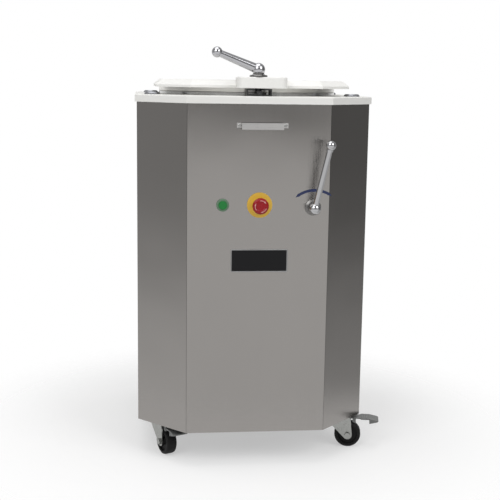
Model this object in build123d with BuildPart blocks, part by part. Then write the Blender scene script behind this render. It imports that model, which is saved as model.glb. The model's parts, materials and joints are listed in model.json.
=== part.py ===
from build123d import *
from math import cos, radians, sin, sqrt
import os

# Hydraulic dough divider on casters.
# Frame: origin on the floor under the middle of the cabinet, +X to the operator's right,
# +Y to the rear, +Z up. The operator stands on the -Y side.

# Driving dimensions in millimetres

# Cabinet
cabinet_width = 590
cabinet_depth = 630
corner_cut = 120
panel_height = 824
sheet = 1.5
panel_gap = 0.3
panel_return = 16
base_wall = 4
base_upstand = 40
table_thickness = 18
table_overhang = 5
table_edge_radius = 2.5

# Tie columns between base and table
column_radius = 13
column_stud_radius = 8
column_side_inset = 39
column_spread = 160
cap_radius = 20
cap_height = 6

# Dough pan, press and knives
pan_radius = 205
pan_wall = 3
pan_skirt = 150
rim_width = 31
rim_height = 8
stroke = 110
inner_portions = 5
outer_portions = 15
pad_thickness = 15
pad_clearance = 1.2
pad_edge = 0.8
blade_thickness = 3
blade_height = 128
blade_edge = 5
blade_edge_flat = 0.5
knife_hub_radius = 8
post_radius = 7
inner_post_share = 0.55
leg_radius = 6
outer_leg_inset = 33
plate_thickness = 14
plate_margin = 15
leg_hole_clearance = 1.5
arm_width = 34
stage_gap = 2

# Hydraulic cylinder
press_ram_radius = 17.5
knife_ram_radius = 30
barrel_bore = 42
barrel_wall = 10
barrel_floor = 16
barrel_foot_radius = 80
barrel_foot = 12
gland_height = 26
gland_radius = 64
gland_bevel = 4
piston_height = 24
piston_rest = 12
running_clearance = 0.08
port_radius = 11
port_reach = 14

# Lid
lid_side_overhang = 12
lid_end_overhang = 9
lid_corner = 83
lid_edge_height = 6
lid_bevel_height = 13.5
lid_bevel_angle = 50
lid_edge_radius = 2
disc_thickness = 10.7
disc_gap = 0.3
hinge_setback = 38
hinge_rise = 22
hinge_pin_radius = 7
hinge_pin_length = 330
hinge_eye_radius = 13
hinge_arm_offset = 92
hinge_arm_width = 26
hinge_arm_pad = (56, 7)
hinge_bracket_offset = 126
hinge_bracket_width = 26
hinge_foot = (30, 56, 7)
fixed_fit = 0.02
hinge_clearance = 0.06

# Lid lock
lock_block_width = 122
lock_block_height = 27
lock_block_front = 50
lock_block_back = 30
lock_block_shift = 9.5
lock_block_radius = 18
lock_block_edge = 3
lock_axis_front = 29
lock_shaft_radius = 8
lock_flange_radius = 22
lock_flange_height = 5
lock_flange_bevel = 1.5
lock_neck_radius = 14
lock_neck_height = 5
lock_hub_radius = 16
lock_lever_length = 109
lock_lever_rise = 21.5
lock_rod_root = 11.8
lock_rod_tip = 8.8
lock_knob_radius = 13.3
cam_length = 42
cam_width = 13
cam_height = 6
cam_drop = 7
cam_corner = 3
keeper_width = 62
keeper_depth = 44
keeper_wall = 3.5
keeper_slot = 21
keeper_gap = 1.2
seat_gap = 0.3
passage_gap = 1
edge_break = 1

# Front controls, measured from the cabinet's middle and up from the skirt
control_height = 579.5
start_x = -88
start_bezel_radius = 15.5
start_bezel_depth = 5
start_bezel_bevel = 1.5
start_cap_radius = 10.5
start_cap_proud = 2.5
start_travel = 3
button_neck_radius = 11.1
button_nut_radius = 15
button_nut_depth = 6
button_end_room = 2
button_end_wall = 4
contact_block = (28, 34, 40)
estop_x = 2.5
estop_plate_radius = 31
estop_plate_depth = 2
estop_collar_radius = 16.5
estop_collar_depth = 11
estop_collar_bevel = 2
estop_stem_radius = 7
estop_head_radius = 20
estop_head_depth = 14
estop_head_rear_radius = 13.5
estop_dome = ((0, 1.1), (0.5, 1.1), (0.58, 0), (0.78, 0.9), (0.95, 3.6), (1, 6.5), (1, 9))
estop_travel = 5
button_clearance = 0.3

# Hydraulic valve and its lever
valve_inset = 40.4
valve_height = 574
valve_body = (72, 68, 96)
valve_bevel = 4
valve_shaft_radius = 7
valve_shaft_depth = 48
escutcheon_radius = 20
escutcheon_depth = 6
escutcheon_bevel = (5, 3)
valve_hub_radius = 15
valve_neck_radius = 11
valve_hub_stand = 30
valve_lever_length = 165
valve_lever_tilt = 9.7
valve_lever_lean = 16
valve_rod_root = 7.4
valve_rod_tip = 6.6
valve_knob_radius = 12
valve_knob_collar = (8, 5)

# Pull on the front panel
pull_x = 7
pull_drop = 53
pull_width = 102
pull_height = 16
pull_stand = 12
pull_sheet = 2
pull_tab = (11.5, 12)
pull_tab_rise = 2
pull_corner = 2

# Power pack
tank_size = (172, 230, 203)
tank_wall = 2.5
tank_corner = 12
tank_rear_gap = 12
tank_side_gap = 57
tank_cover = 5
tank_cover_lip = 4
motor_radius = 62
motor_height = 180
motor_flange = (80, 12)
motor_foot_gap = 66
motor_rear_gap = 78
motor_fins = 24
motor_fin = (5, 4)
motor_cowl_height = 44
motor_cowl_wall = 1.5
motor_cowl_bevel = 6
motor_cowl_slots = 12
motor_cowl_slot = 5
pump_size = (64, 56, 92)
pump_corner = 16
filler_radius = 19
filler_neck_radius = 14
filler_bevel = 3
filler_height = 24
filler_place = (-53, -76)
electrical_size = (150, 80, 210)
electrical_x = 155
electrical_rise = 363
electrical_wall = 1.5
electrical_lid = 2

# Bent steel pipes of the hydraulic circuit, with the cover's ports placed from the tank's middle
# and the valve's ports from the front panel
pipe_radius = 6
pipe_bend = 36
pressure_port = (57, -38)
return_port = (34, -70)
pressure_rise = 72
return_rise = 42
valve_port_spacing = 32
valve_port_rows = (23.5, 51.5)
knife_port_rise = 62
press_port_rise = 236

# Rear panel
louvre_rows = 6
louvre_pitch = 30
louvre_length = 130
louvre_opening = 8
louvre_reach = 6
louvre_columns = (-205, -60)
louvre_rise = 238
gland_x = 190
gland_rise = 78
gland_bore = 6.5
gland_neck_radius = 10
gland_hex_radius = 15
gland_hex_depth = 9
gland_dome_depth = 13
gland_dome_radii = (13, 10)
gland_tail = 14

# Casters
wheel_diameter = 70
caster_head = 22
wheel_width = 28
wheel_edge = 4
wheel_recess = (12, 26, 5)
wheel_hub_taper = 2
caster_trail = 33
caster_side_inset = 60
caster_front_inset = 138
caster_rear_inset = 75
caster_headings = {"front_left": -65, "front_right": -12, "rear_left": -105, "rear_right": -80}
caster_plate_turns = {"front_left": -45, "front_right": 45, "rear_left": 0, "rear_right": 0}
braked_corners = ("front_left", "front_right")
caster_plate = (95, 67, 3.5)
caster_plate_corner = 8
caster_race_radius = 24
caster_race = 5
caster_race_bevel = 2
caster_crown = 4
caster_crown_length = 58
caster_crown_corner = 6
crown_clearance = 4.5
fork_side_gap = 2.2
fork_wall = 3
fork_eye_radius = 12
axle_radius = 5
axle_clearance = 0.08
axle_head = (8, 5)
kingpin_radius = 6
kingpin_head = (10, 3)
swivel_gap = 0.3
pedal_pivot = 36
pedal_pivot_rise = 8
pedal_pin_radius = 2.5
pedal_eye_radius = 5
pedal_reach = 79
pedal_width = 34
pedal_sheet = 3
pedal_toe = 24
pedal_pad_start = 30
pedal_pad_width = 42
pedal_pad_corner = 6
pedal_toe_drop = 9
pedal_shoe = (10, 19, 7.8)

# Levels and places worked out from the driving dimensions
skirt_height = wheel_diameter + caster_head
cabinet_top = skirt_height + panel_height
table_z = cabinet_top + table_thickness
rim_top = table_z + rim_height
front_y = -cabinet_depth / 2
rear_y = cabinet_depth / 2
side_x = cabinet_width / 2
front_half = side_x - corner_cut
floor_z = skirt_height + base_wall
inside_y = front_y + sheet

pad_top = rim_top - stroke
pad_bottom = pad_top - pad_thickness
blade_top = pad_top - edge_break
blade_bottom = blade_top - blade_height
press_top = blade_bottom - stroke - stage_gap
press_bottom = press_top - plate_thickness
carrier_top = press_bottom - stroke - stage_gap
carrier_bottom = carrier_top - plate_thickness
gland_top = carrier_bottom - stage_gap
barrel_top = gland_top - gland_height
rim_radius = pan_radius + rim_width
ring_radius = pan_radius / 2
outer_leg_radius = pan_radius - outer_leg_inset
inner_post_radius = (knife_hub_radius + ring_radius) * inner_post_share
outer_post_radius = (ring_radius + pan_radius) / 2

disc_bottom = rim_top + disc_gap
lid_bottom = disc_bottom + disc_thickness
lid_half_width = rim_radius + lid_side_overhang
lid_half_depth = rim_radius + lid_end_overhang
hinge_y = lid_half_depth + hinge_setback
hinge_z = table_z + hinge_rise
lock_y = -lid_half_depth - lock_axis_front
lock_block_top = lid_bottom + lock_block_height
lock_neck_top = lock_block_top + lock_flange_height + lock_neck_height
lock_hub_z = lock_neck_top + seat_gap + sqrt(lock_hub_radius**2 - lock_neck_radius**2)
cam_top = lid_bottom - cam_drop

button_z = skirt_height + control_height
valve_x = front_half - valve_inset
valve_z = skirt_height + valve_height
electrical_z = skirt_height + electrical_rise
louvre_z = skirt_height + louvre_rise
gland_z = skirt_height + gland_rise
column_spots = [
    (x * (side_x - column_side_inset), y * column_spread) for x in (-1, 1) for y in (-1, 1)
]
wheel_radius = wheel_diameter / 2
crown_z = wheel_diameter + crown_clearance
race_split = skirt_height - caster_plate[2] - caster_race
fork_inner = wheel_width / 2 + fork_side_gap
fork_outer = fork_inner + fork_wall
pedal_z = wheel_diameter + pedal_pivot_rise

os.makedirs("parts", exist_ok=True)


def save(piece, name):
    piece.part.label = name
    export_step(piece.part, f"parts/{name}.step")


def cabinet_plan(inset):
    """The cabinet's plan, drawn in by inset: a rectangle with its two front corners cut off."""
    with BuildSketch(mode=Mode.PRIVATE) as plan:
        Rectangle(cabinet_width - 2 * inset, cabinet_depth - 2 * inset)
        chamfer(plan.vertices().group_by(Axis.Y)[0], corner_cut - inset * (2 - sqrt(2)))
    return plan.sketch


def lid_plan():
    """The lid's plan: a rectangle with all four corners cut off."""
    with BuildSketch(mode=Mode.PRIVATE) as plan:
        Rectangle(2 * lid_half_width, 2 * lid_half_depth)
        chamfer(plan.vertices(), lid_corner)
    return plan.sketch


def turn_upright(profile, x=0, y=0):
    """Turns a closed profile of (radius, height) points about a vertical line."""
    with BuildSketch(Plane(origin=(x, y, 0), x_dir=(1, 0, 0), z_dir=(0, -1, 0))) as section:
        with BuildLine():
            Polyline(*profile, close=True)
        make_face()
    revolve(section.sketch, axis=Axis((x, y, 0), (0, 0, 1)))


def turn_level(profile, x, z):
    """Turns a closed profile of (radius, y) points about a line along Y."""
    with BuildSketch(Plane(origin=(x, 0, z))) as section:
        with BuildLine():
            Polyline(*profile, close=True)
        make_face()
    revolve(section.sketch, axis=Axis((x, 0, z), (0, 1, 0)))


def ball_rod(origin, direction, side, length, root, tip, ball, collar=None):
    """A tapered rod that ends in a ball, turned about its own line, with a collar under the ball."""
    rod_end = length - sqrt(ball**2 - tip**2)
    profile = [(0, 0), (root, 0)]
    if collar:
        collar_radius, collar_length = collar
        rod_end = length - sqrt(ball**2 - collar_radius**2)
        collar_start = rod_end - collar_length
        profile += [(tip, collar_start), (collar_radius, collar_start), (collar_radius, rod_end)]
    else:
        profile += [(tip, rod_end)]
    with BuildSketch(Plane(origin=origin, x_dir=side, z_dir=side.cross(direction))) as section:
        with BuildLine():
            Polyline(*profile)
            ThreePointArc(profile[-1], (ball, length), (0, length + ball))
            Line((0, length + ball), (0, 0))
        make_face()
    revolve(section.sketch, axis=Axis(origin, direction))


# Base: a folded tray that carries the power pack, the cylinder and the columns

base_outer = cabinet_plan(sheet + panel_gap)
base_inner = cabinet_plan(sheet + panel_gap + base_wall)
with BuildPart() as base_frame:
    with BuildSketch(Plane.XY.offset(skirt_height)):
        add(base_outer)
    extrude(amount=base_upstand)
    with BuildSketch(Plane.XY.offset(floor_z)):
        add(base_inner)
    extrude(amount=base_upstand, mode=Mode.SUBTRACT)
save(base_frame, "base_frame")

# Cabinet panels

outer_plan = cabinet_plan(0)
inner_plan = cabinet_plan(sheet)
return_plan = cabinet_plan(panel_return)


def side_panel(side):
    """One side with its 45 degree front corner, folded inwards along the top."""
    middle_x = side * (front_half + panel_gap - cabinet_width)
    with BuildPart() as panel:
        for inner, level, height in (
            (inner_plan, skirt_height, panel_height),
            (return_plan, cabinet_top - sheet, sheet),
        ):
            with BuildSketch(Plane.XY.offset(level)):
                add(outer_plan)
                add(inner, mode=Mode.SUBTRACT)
                with Locations((middle_x, 0)):
                    Rectangle(2 * cabinet_width, 2 * cabinet_depth, mode=Mode.SUBTRACT)
                with Locations((0, rear_y)):
                    Rectangle(cabinet_width - 2 * sheet, 2 * (panel_return + panel_gap), mode=Mode.SUBTRACT)
            extrude(amount=height)
    return panel


left_side_panel = side_panel(-1)
save(left_side_panel, "left_side_panel")
right_side_panel = side_panel(1)
save(right_side_panel, "right_side_panel")

front_width = 2 * (front_half - panel_gap)
panel_middle = skirt_height + panel_height / 2
with BuildPart() as front_panel:
    with Locations((0, front_y + panel_return / 2, panel_middle)):
        Box(front_width, panel_return, panel_height)
    offset(amount=-sheet, openings=front_panel.faces().sort_by(Axis.Y)[-1])
    with BuildSketch(Plane.XZ.offset(-front_y)):
        with Locations((start_x, button_z), (estop_x, button_z)):
            Circle(button_neck_radius + button_clearance)
        with Locations((valve_x, valve_z)):
            Circle(valve_shaft_radius + passage_gap)
    extrude(amount=-sheet, mode=Mode.SUBTRACT)
    with Locations((0, front_y + sheet + panel_return / 2, skirt_height)):
        Box(front_width, panel_return, 2 * base_upstand, mode=Mode.SUBTRACT)
save(front_panel, "front_panel")

rear_width = cabinet_width - 2 * (sheet + panel_gap)
louvre_levels = [louvre_z + row * louvre_pitch for row in range(louvre_rows)]
with BuildPart() as rear_panel:
    with Locations((0, rear_y - panel_return / 2, panel_middle)):
        Box(rear_width, panel_return, panel_height)
    offset(amount=-sheet, openings=rear_panel.faces().sort_by(Axis.Y)[0])
    with Locations((0, rear_y - sheet - panel_return / 2, skirt_height)):
        Box(rear_width, panel_return, 2 * base_upstand, mode=Mode.SUBTRACT)
    with BuildSketch(Plane.XZ.offset(-rear_y)):
        with Locations((gland_x, gland_z)):
            Circle(gland_neck_radius + button_clearance)
        with Locations(*[(x, z) for x in louvre_columns for z in louvre_levels]):
            Rectangle(louvre_length, louvre_opening)
    extrude(amount=sheet, mode=Mode.SUBTRACT)
    for x in louvre_columns:
        for z in louvre_levels:
            hood_top = z + louvre_opening / 2 + louvre_reach
            hood_foot = z - louvre_opening / 2
            with BuildSketch(Plane.YZ.offset(x)):
                with BuildLine():
                    Polyline(
                        (rear_y, hood_top),
                        (rear_y + louvre_reach, z),
                        (rear_y + louvre_reach, hood_foot),
                        (rear_y + louvre_reach - sheet, hood_foot),
                        (rear_y + louvre_reach - sheet, z - sheet / 2),
                        (rear_y, hood_top - 2 * sheet),
                        close=True,
                    )
                make_face()
            extrude(amount=louvre_length / 2, both=True)
save(rear_panel, "rear_panel")

with BuildPart() as front_pull:
    face_y = front_y - pull_stand
    pull_z = cabinet_top - pull_drop
    tab_z = pull_z + pull_tab_rise
    tab_width, tab_height = pull_tab
    with BuildSketch(Plane.XZ.offset(-face_y)):
        with Locations((pull_x, pull_z)):
            pull_face = Rectangle(pull_width, pull_height)
        fillet(pull_face.vertices(), pull_corner)
    extrude(amount=-pull_sheet)
    for end in (-1, 1):
        leg_x = pull_x + end * (pull_width - pull_sheet) / 2
        tab_x = pull_x + end * (pull_width + tab_width - pull_sheet) / 2
        with Locations((leg_x, front_y - pull_stand / 2, tab_z)):
            Box(pull_sheet, pull_stand, tab_height)
        with Locations((tab_x, front_y - pull_sheet / 2, tab_z)):
            Box(tab_width + pull_sheet, pull_sheet, tab_height)
save(front_pull, "front_pull")

# Table top and the four columns that tie it to the base

table_plan = cabinet_plan(-table_overhang)
with BuildPart() as table_top:
    with BuildSketch(Plane.XY.offset(cabinet_top)):
        add(table_plan)
        Circle(pan_radius + pan_wall + passage_gap, mode=Mode.SUBTRACT)
        with Locations(*column_spots):
            Circle(column_stud_radius + seat_gap, mode=Mode.SUBTRACT)
    extrude(amount=table_thickness)
    fillet(table_top.faces().sort_by(Axis.Z)[-1].outer_wire().edges(), table_edge_radius)
save(table_top, "table_top")

with BuildPart() as tie_columns:
    stud_top = table_z + cap_height / 2
    for x, y in column_spots:
        turn_upright(
            [
                (0, floor_z),
                (column_radius, floor_z),
                (column_radius, cabinet_top),
                (column_stud_radius, cabinet_top),
                (column_stud_radius, stud_top),
                (0, stud_top),
            ],
            x,
            y,
        )
save(tie_columns, "tie_columns")

with BuildPart() as column_caps:
    bore = column_stud_radius + seat_gap
    bore_top = table_z + cap_height / 2 + seat_gap
    for x, y in column_spots:
        turn_upright(
            [
                (bore, table_z),
                (cap_radius, table_z),
                (cap_radius, table_z + cap_height / 2),
                (cap_radius - cap_height / 2, table_z + cap_height),
                (0, table_z + cap_height),
                (0, bore_top),
                (bore, bore_top),
            ],
            x,
            y,
        )
save(column_caps, "column_caps")

# Dough pan hung in the table by its rim

with BuildPart() as pan:
    pan_outer = pan_radius + pan_wall
    pan_foot = table_z - pan_skirt
    turn_upright(
        [
            (pan_radius, pan_foot),
            (pan_outer, pan_foot),
            (pan_outer, table_z),
            (rim_radius, table_z),
            (rim_radius, rim_top - edge_break),
            (rim_radius - edge_break, rim_top),
            (pan_radius + edge_break, rim_top),
            (pan_radius, rim_top - edge_break),
        ]
    )
save(pan, "pan")

# Press: one pad for each portion, on posts from a plate that the inner ram lifts

slot_width = blade_thickness + 2 * pad_clearance
with BuildPart() as press_pads:
    with BuildSketch(Plane.XY.offset(pad_bottom)):
        Circle(pan_radius - pad_clearance)
        Circle(ring_radius + slot_width / 2, mode=Mode.SUBTRACT)
        Circle(ring_radius - slot_width / 2)
        Circle(knife_hub_radius + pad_clearance, mode=Mode.SUBTRACT)
        with PolarLocations(0, inner_portions):
            Rectangle(ring_radius, slot_width, align=(Align.MIN, Align.CENTER), mode=Mode.SUBTRACT)
        with PolarLocations(ring_radius, outer_portions):
            Rectangle(pan_radius, slot_width, align=(Align.MIN, Align.CENTER), mode=Mode.SUBTRACT)
    extrude(amount=pad_thickness)
    chamfer(press_pads.faces().group_by(Axis.Z)[-1].edges(), pad_edge)
save(press_pads, "press_pads")

with BuildPart() as press_posts:
    with BuildSketch(Plane.XY.offset(press_top)):
        with PolarLocations(inner_post_radius, inner_portions, start_angle=180 / inner_portions):
            Circle(post_radius)
        with PolarLocations(outer_post_radius, outer_portions, start_angle=180 / outer_portions):
            Circle(post_radius)
    extrude(amount=pad_bottom - press_top)
save(press_posts, "press_posts")

with BuildPart() as press_plate:
    with BuildSketch(Plane.XY.offset(press_bottom)):
        Circle(pan_radius - plate_margin)
        with PolarLocations(ring_radius, inner_portions):
            Circle(leg_radius + leg_hole_clearance, mode=Mode.SUBTRACT)
        with PolarLocations(outer_leg_radius, inner_portions):
            Circle(leg_radius + leg_hole_clearance, mode=Mode.SUBTRACT)
    extrude(amount=plate_thickness)
    chamfer(press_plate.faces().sort_by(Axis.Z)[-1].outer_wire().edges(), 2 * edge_break)
save(press_plate, "press_plate")

with BuildPart() as press_ram:
    ram_foot = floor_z + barrel_floor + piston_rest
    turn_upright(
        [
            (0, ram_foot),
            (press_ram_radius - edge_break, ram_foot),
            (press_ram_radius, ram_foot + edge_break),
            (press_ram_radius, press_bottom),
            (0, press_bottom),
        ]
    )
save(press_ram, "press_ram")

# Knives: a ring and hub with radial blades, on legs from a carrier that the outer ram lifts


def radial_planes(count, radius):
    """Planes square to the spokes of a wheel, drawn from its rim, with local Y upwards."""
    spokes = [radians(360 / count * spoke) for spoke in range(count)]
    return [
        Plane(
            origin=(radius * cos(turn), radius * sin(turn), blade_bottom),
            x_dir=(-sin(turn), cos(turn), 0),
            z_dir=(cos(turn), sin(turn), 0),
        )
        for turn in spokes
    ]


half_blade = blade_thickness / 2
ring_inner = ring_radius - half_blade
ring_outer = ring_radius + half_blade
edge_start = blade_top - blade_edge
with BuildPart() as knife_ring:
    turn_upright(
        [
            (ring_inner, blade_bottom),
            (ring_outer, blade_bottom),
            (ring_outer, edge_start),
            (ring_radius + blade_edge_flat / 2, blade_top),
            (ring_radius - blade_edge_flat / 2, blade_top),
            (ring_inner, edge_start),
        ]
    )
    turn_upright(
        [
            (0, blade_bottom),
            (knife_hub_radius, blade_bottom),
            (knife_hub_radius, edge_start),
            (knife_hub_radius - half_blade, blade_top),
            (0, blade_top),
        ]
    )
save(knife_ring, "knife_ring")

inner_blade_length = sqrt(ring_inner**2 - half_blade**2) - knife_hub_radius
outer_blade_length = pan_radius - pad_clearance - ring_outer
with BuildPart() as knife_blades:
    for planes, length in (
        (radial_planes(inner_portions, knife_hub_radius), inner_blade_length),
        (radial_planes(outer_portions, ring_outer), outer_blade_length),
    ):
        with BuildSketch(*planes):
            with BuildLine():
                Polyline(
                    (-half_blade, 0),
                    (half_blade, 0),
                    (half_blade, blade_height - blade_edge),
                    (blade_edge_flat / 2, blade_height),
                    (-blade_edge_flat / 2, blade_height),
                    (-half_blade, blade_height - blade_edge),
                    close=True,
                )
            make_face()
        extrude(amount=length)
save(knife_blades, "knife_blades")

with BuildPart() as knife_legs:
    with BuildSketch(Plane.XY.offset(carrier_top)):
        with PolarLocations(ring_radius, inner_portions):
            Circle(leg_radius)
        with PolarLocations(outer_leg_radius, inner_portions):
            Circle(leg_radius)
    extrude(amount=blade_bottom - carrier_top)
save(knife_legs, "knife_legs")

with BuildPart() as knife_carrier:
    with BuildSketch(Plane.XY.offset(carrier_bottom)):
        Circle(ring_radius + arm_width / 2)
        with PolarLocations(0, inner_portions):
            Rectangle(outer_leg_radius, arm_width, align=(Align.MIN, Align.CENTER))
        with PolarLocations(outer_leg_radius, inner_portions):
            Circle(arm_width / 2)
        Circle(press_ram_radius + passage_gap, mode=Mode.SUBTRACT)
    extrude(amount=plate_thickness)
save(knife_carrier, "knife_carrier")

with BuildPart() as knife_ram:
    piston_foot = floor_z + barrel_floor + piston_rest
    piston_top = piston_foot + piston_height
    piston_radius = barrel_bore - running_clearance
    ram_bore = press_ram_radius + running_clearance
    turn_upright(
        [
            (ram_bore, piston_foot),
            (piston_radius, piston_foot),
            (piston_radius, piston_top),
            (knife_ram_radius, piston_top),
            (knife_ram_radius, carrier_bottom),
            (ram_bore, carrier_bottom),
        ]
    )
save(knife_ram, "knife_ram")

# Cylinder that holds both rams

barrel_outer = barrel_bore + barrel_wall
knife_port_z = floor_z + knife_port_rise
press_port_z = floor_z + press_port_rise
port_face = barrel_outer + port_reach
with BuildPart() as cylinder_barrel:
    turn_upright(
        [
            (0, floor_z),
            (barrel_foot_radius, floor_z),
            (barrel_foot_radius, floor_z + barrel_foot),
            (barrel_outer, floor_z + barrel_foot),
            (barrel_outer, barrel_top),
            (barrel_bore, barrel_top),
            (barrel_bore, floor_z + barrel_floor),
            (0, floor_z + barrel_floor),
        ]
    )
    port_root = barrel_bore + barrel_wall / 2
    with BuildSketch(Plane.XZ.offset(port_root)):
        with Locations((0, knife_port_z)):
            Circle(port_radius)
    extrude(amount=port_face - port_root)
    with BuildSketch(Plane.YZ.offset(port_root)):
        with Locations((0, press_port_z)):
            Circle(port_radius)
    extrude(amount=port_face - port_root)
save(cylinder_barrel, "cylinder_barrel")

with BuildPart() as cylinder_gland:
    gland_bore_radius = knife_ram_radius + running_clearance
    turn_upright(
        [
            (gland_bore_radius, barrel_top),
            (gland_radius, barrel_top),
            (gland_radius, gland_top - gland_bevel),
            (gland_radius - gland_bevel, gland_top),
            (gland_bore_radius, gland_top),
        ]
    )
save(cylinder_gland, "cylinder_gland")

# Lid: bevelled slab over a round press disc, hinged at the rear

octagon = lid_plan()
block_front_y = -lid_half_depth - lock_block_front
block_back_y = -lid_half_depth + lock_block_back
block_middle_y = (block_front_y + block_back_y) / 2
with BuildPart() as lid_slab:
    with BuildSketch(Plane.XY.offset(lid_bottom)):
        add(octagon)
    extrude(amount=lid_edge_height)
    with BuildSketch(Plane.XY.offset(lid_bottom + lid_edge_height)):
        add(octagon)
    extrude(amount=lid_bevel_height, taper=lid_bevel_angle)
    fillet(lid_slab.edges().group_by(Axis.Z)[-1], lid_edge_radius)
    with BuildSketch(Plane.XY.offset(lid_bottom)):
        with Locations((lock_block_shift, block_middle_y)):
            notch = Rectangle(
                lock_block_width + 2 * seat_gap, lock_block_front + lock_block_back + 2 * seat_gap
            )
        fillet(notch.vertices(), lock_block_radius + seat_gap)
    extrude(amount=lock_block_height, mode=Mode.SUBTRACT)
save(lid_slab, "lid_slab")

with BuildPart() as lid_press_disc:
    turn_upright(
        [
            (0, disc_bottom),
            (rim_radius - edge_break, disc_bottom),
            (rim_radius, disc_bottom + edge_break),
            (rim_radius, lid_bottom),
            (0, lid_bottom),
        ]
    )
save(lid_press_disc, "lid_press_disc")

with BuildPart() as lid_hinge_brackets:
    foot_width, foot_depth, foot_height = hinge_foot
    for side in (-1, 1):
        inner_face = side * hinge_bracket_offset - hinge_bracket_width / 2
        with BuildSketch(Plane.YZ.offset(inner_face)):
            with Locations((hinge_y, hinge_z)):
                Circle(hinge_eye_radius)
            with Locations((hinge_y, table_z + foot_height / 2)):
                Rectangle(foot_depth - 2 * foot_height, foot_height)
            make_hull()
            with Locations((hinge_y, hinge_z)):
                Circle(hinge_pin_radius + fixed_fit, mode=Mode.SUBTRACT)
        extrude(amount=hinge_bracket_width)
        with Locations((side * hinge_bracket_offset, hinge_y, table_z + foot_height / 2)):
            Box(hinge_bracket_width + foot_width, foot_depth, foot_height)
save(lid_hinge_brackets, "lid_hinge_brackets")

with BuildPart() as lid_hinge_pin:
    with BuildSketch(Plane.YZ):
        with Locations((hinge_y, hinge_z)):
            Circle(hinge_pin_radius)
    extrude(amount=hinge_pin_length / 2, both=True)
    chamfer(lid_hinge_pin.edges().filter_by(GeomType.CIRCLE), edge_break)
save(lid_hinge_pin, "lid_hinge_pin")

with BuildPart() as lid_hinge_arms:
    pad_width, pad_depth = hinge_arm_pad
    pad_y = lid_half_depth + pad_depth / 2
    pad_z = lid_bottom + lid_edge_height / 2
    for side in (-1, 1):
        inner_face = side * hinge_arm_offset - hinge_arm_width / 2
        with BuildSketch(Plane.YZ.offset(inner_face)):
            with Locations((hinge_y, hinge_z)):
                Circle(hinge_eye_radius)
            with Locations((pad_y, pad_z)):
                Rectangle(pad_depth, lid_edge_height)
            make_hull()
            with Locations((hinge_y, hinge_z)):
                Circle(hinge_pin_radius + hinge_clearance, mode=Mode.SUBTRACT)
        extrude(amount=hinge_arm_width)
        with Locations((side * hinge_arm_offset, pad_y, pad_z)):
            Box(pad_width, pad_depth, lid_edge_height)
save(lid_hinge_arms, "lid_hinge_arms")

# Lid lock: block on the front of the lid, lever above it, cam below it in a keeper on the table

with BuildPart() as lock_block:
    with BuildSketch(Plane.XY.offset(lid_bottom)):
        with Locations((lock_block_shift, block_middle_y)):
            block = Rectangle(lock_block_width, lock_block_front + lock_block_back)
        fillet(block.vertices(), lock_block_radius)
        with Locations((0, lock_y)):
            Circle(lock_shaft_radius + seat_gap, mode=Mode.SUBTRACT)
    extrude(amount=lock_block_height)
    fillet(lock_block.faces().sort_by(Axis.Z)[-1].outer_wire().edges(), lock_block_edge)
save(lock_block, "lock_block")

with BuildPart() as lock_flange:
    shaft_bore = lock_shaft_radius + running_clearance
    flange_top = lock_block_top + lock_flange_height
    turn_upright(
        [
            (shaft_bore, lock_block_top),
            (lock_flange_radius, lock_block_top),
            (lock_flange_radius, flange_top - lock_flange_bevel),
            (lock_flange_radius - lock_flange_bevel, flange_top),
            (lock_neck_radius, flange_top),
            (lock_neck_radius, lock_neck_top),
            (shaft_bore, lock_neck_top),
        ],
        0,
        lock_y,
    )
save(lock_flange, "lock_flange")

lock_hub = Vector(0, lock_y, lock_hub_z)
lock_rise = radians(lock_lever_rise)
lock_direction = Vector(-cos(lock_rise), 0, sin(lock_rise))
with BuildPart() as lock_lever:
    with Locations(lock_hub):
        Sphere(lock_hub_radius)
    ball_rod(
        lock_hub,
        lock_direction,
        Vector(0, 1, 0),
        lock_lever_length,
        lock_rod_root,
        lock_rod_tip,
        lock_knob_radius,
    )
    with BuildSketch(Plane.XY.offset(lock_neck_top - lock_hub_radius)):
        with Locations((0, lock_y)):
            Circle(2 * lock_hub_radius)
    extrude(amount=lock_hub_radius + seat_gap, mode=Mode.SUBTRACT)
    with BuildSketch(Plane.XY.offset(lock_neck_top)):
        with Locations((0, lock_y)):
            Circle(lock_shaft_radius + fixed_fit)
    extrude(amount=lock_hub_z - lock_neck_top, mode=Mode.SUBTRACT)
save(lock_lever, "lock_lever")

with BuildPart() as lock_shaft:
    with BuildSketch(Plane.XY.offset(cam_top)):
        with Locations((0, lock_y)):
            Circle(lock_shaft_radius)
    extrude(amount=lock_hub_z - cam_top - seat_gap)
    with BuildSketch(Plane.XY.offset(cam_top - cam_height)):
        with Locations((0, lock_y)):
            Circle(lock_shaft_radius)
            cam = Rectangle(cam_width, cam_length)
        fillet(cam.vertices(), cam_corner)
    extrude(amount=cam_height)
save(lock_shaft, "lock_shaft")

with BuildPart() as lock_keeper:
    keeper_top = lid_bottom - keeper_gap
    keeper_height = keeper_top - table_z
    with BuildSketch(Plane.XZ.offset(-lock_y - keeper_depth / 2)):
        with Locations((0, table_z + keeper_height / 2)):
            Rectangle(keeper_width, keeper_height)
            Rectangle(keeper_width - 2 * keeper_wall, keeper_height - 2 * keeper_wall, mode=Mode.SUBTRACT)
        with Locations((0, keeper_top)):
            Rectangle(keeper_slot, 4 * keeper_wall, mode=Mode.SUBTRACT)
    extrude(amount=keeper_depth)
save(lock_keeper, "lock_keeper")

# Start button


def contact_box(x, depth):
    """The contact block clipped on behind a button."""
    width, length, height = contact_block
    with Locations((x, depth + length / 2, button_z)):
        Box(width, length, height)


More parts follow.
